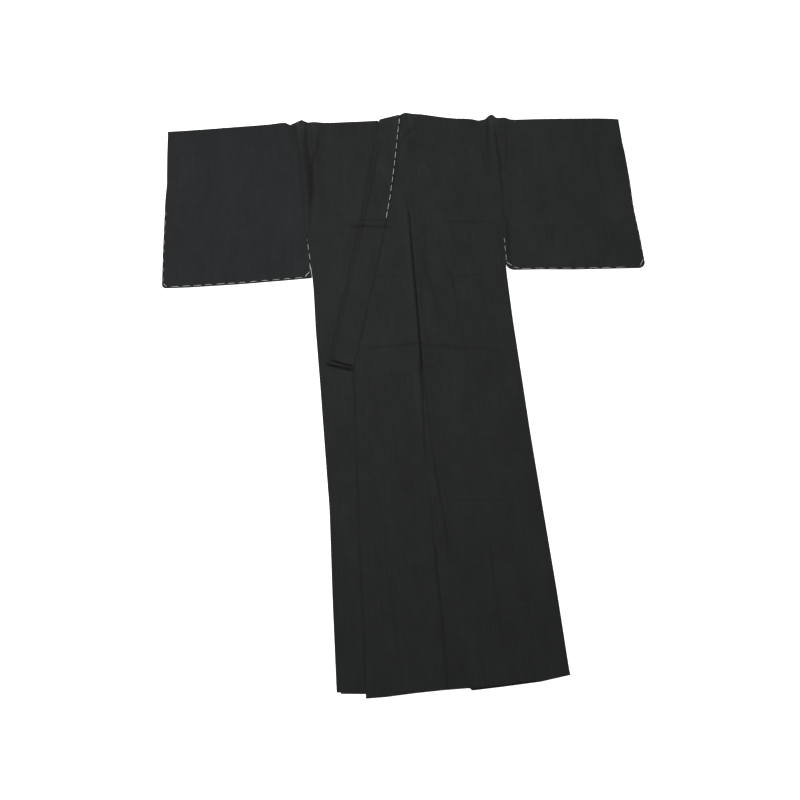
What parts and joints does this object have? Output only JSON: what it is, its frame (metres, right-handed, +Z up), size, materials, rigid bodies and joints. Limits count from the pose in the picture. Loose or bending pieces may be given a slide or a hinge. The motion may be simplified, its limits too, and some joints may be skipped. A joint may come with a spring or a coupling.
{
  "type": "kimono laid flat",
  "caption": "Plain dark kimono laid flat with its front closed, square sleeves spread, a folded collar band with an overcollar, and overlapping front panels.",
  "frame": {"origin": "on the surface that the kimono lies on, under the middle of its outline", "axes": "+X along the sleeves towards the wearer's left wrist, +Y from the hem to the neck, +Z up, out of the front"},
  "size_m": [1.301, 1.6114, 0.0214],
  "materials": {
    "body_cloth": "matt",
    "sleeve_cloth": "matt",
    "collar_cloth": "matt"
  },
  "bodies": {
    "root": {"body_right": "body_cloth", "body_left": "body_cloth", "overlap_right": "body_cloth", "overlap_left": "body_cloth", "sleeve_right": "sleeve_cloth", "sleeve_left": "sleeve_cloth", "collar": "collar_cloth", "overcollar": "collar_cloth"}
  },
  "joints": []
}
